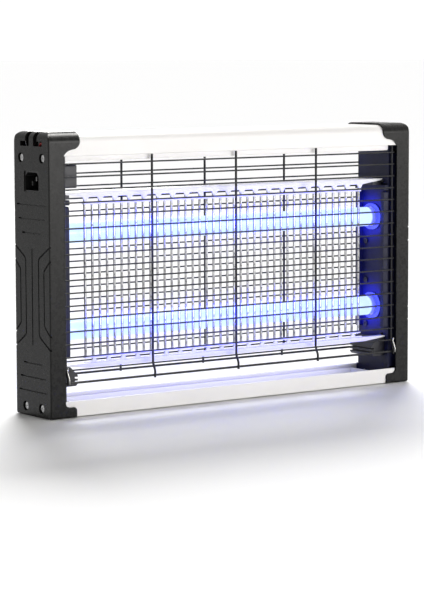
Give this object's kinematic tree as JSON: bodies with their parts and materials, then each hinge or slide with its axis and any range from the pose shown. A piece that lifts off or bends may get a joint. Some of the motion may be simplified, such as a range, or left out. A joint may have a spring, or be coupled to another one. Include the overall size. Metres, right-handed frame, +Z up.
{
  "type": "electric bug zapper",
  "caption": "Hanging or standing electric insect killer with moulded end caps, ultraviolet lamp tubes, a wire killing grid, hinged wire guards and a front collection tray.",
  "frame": {"origin": "centre of the footprint, on the surface the zapper stands on", "axes": "+X to the right seen from the front, +Y to the back, +Z up; the collection tray opens towards -Y and the mains inlet is on the -X cap"},
  "size_m": [0.424, 0.06, 0.26],
  "materials": {
    "cap_grey": "fine moulded grain",
    "channel_white": "satin powder coat",
    "pan_white": "satin powder coat",
    "tray_white": "fine moulded grain",
    "cover_black": "fine moulded grain",
    "insulator_black": "fine moulded grain",
    "holder_grey": "smooth",
    "rail_white": "smooth",
    "spacer_clear": "smooth",
    "grid_steel": "bright drawn wire",
    "tube_glass": "phosphor coated inside",
    "tube_metal": "brushed",
    "pin_brass": "plain",
    "pin_nickel": "nickel plated",
    "guard_black": "satin powder coat",
    "inlet_black": "smooth",
    "board_green": "solder mask",
    "transformer_yellow": "taped winding",
    "capacitor_dark": "heat-shrink sleeve",
    "film_red": "dipped",
    "resistor_tan": "lacquered",
    "lead_red": "smooth insulation",
    "lead_blue": "smooth insulation",
    "lead_green": "smooth insulation",
    "lead_black": "smooth insulation",
    "lead_white": "smooth insulation",
    "lug_tin": "tinned",
    "screw_zinc": "zinc plated",
    "screw_black": "blackened"
  },
  "bodies": {
    "housing": {"end_cap_left": "cap_grey", "end_cap_right": "cap_grey", "top_channel": "channel_white", "guard_stop_front": "channel_white", "guard_stop_back": "channel_white", "base_pan": "pan_white", "inner_cover_left": "cover_black", "inner_cover_right": "cover_black", "grid_block_upper_left": "insulator_black", "grid_block_upper_right": "insulator_black", "grid_block_lower_left": "insulator_black", "grid_block_lower_right": "insulator_black", "inlet_shroud": "insulator_black", "lamp_holder_upper_left": "holder_grey", "lamp_holder_upper_right": "holder_grey", "lamp_holder_lower_left": "holder_grey", "lamp_holder_lower_right": "holder_grey", "upper_grid_rail": "rail_white", "lower_grid_rail": "rail_white", "upper_wire_spacer": "spacer_clear", "lower_wire_spacer": "spacer_clear", "live_wires": "grid_steel", "return_wires": "grid_steel", "inlet_pins": "pin_nickel", "power_inlet": "inlet_black", "driver_board": "board_green", "voltage_board": "board_green", "driver_transformer": "transformer_yellow", "driver_capacitors": "capacitor_dark", "voltage_capacitors": "film_red", "voltage_resistors": "resistor_tan", "mains_lead_live": "lead_red", "mains_lead_neutral": "lead_blue", "earth_lead": "lead_green", "grid_lead_upper": "lead_black", "grid_lead_lower": "lead_black", "cross_lead": "lead_white", "lamp_lead_upper_left": "lead_white", "lamp_lead_upper_right": "lead_white", "lamp_lead_lower_left": "lead_white", "lamp_lead_lower_right": "lead_white", "earth_lug": "lug_tin", "earth_screw": "screw_zinc", "cap_screws_left": "screw_zinc", "cap_screws_right": "screw_zinc", "cover_screws_left": "screw_black", "cover_screws_right": "screw_black"},
    "front_guard": {"front_guard": "guard_black"},
    "back_guard": {"back_guard": "guard_black"},
    "collection_tray": {"collection_tray": "tray_white"},
    "upper_tube": {"upper_tube_glass": "tube_glass", "upper_tube_caps": "tube_metal", "upper_tube_pins": "pin_brass"},
    "lower_tube": {"lower_tube_glass": "tube_glass", "lower_tube_caps": "tube_metal", "lower_tube_pins": "pin_brass"}
  },
  "joints": [
    {"name": "front_guard_hinge", "type": "hinge", "parent": "housing", "child": "front_guard", "pos_m": [0, -0.0268, 0.03159], "axis": [1, 0, 0], "range_deg": [0, 90]},
    {"name": "back_guard_hinge", "type": "hinge", "parent": "housing", "child": "back_guard", "pos_m": [0, 0.0268, 0.03159], "axis": [-1, 0, 0], "range_deg": [0, 90]},
    {"name": "tray_slide", "type": "slide", "parent": "housing", "child": "collection_tray", "axis": [0, -1, 0], "range_m": [0, 0.05]},
    {"name": "upper_tube_twist", "type": "hinge", "parent": "housing", "child": "upper_tube", "pos_m": [0, 0.004, 0.1658], "axis": [1, 0, 0], "range_deg": [0, 90]},
    {"name": "lower_tube_twist", "type": "hinge", "parent": "housing", "child": "lower_tube", "pos_m": [0, 0.004, 0.076], "axis": [1, 0, 0], "range_deg": [0, 90]}
  ]
}
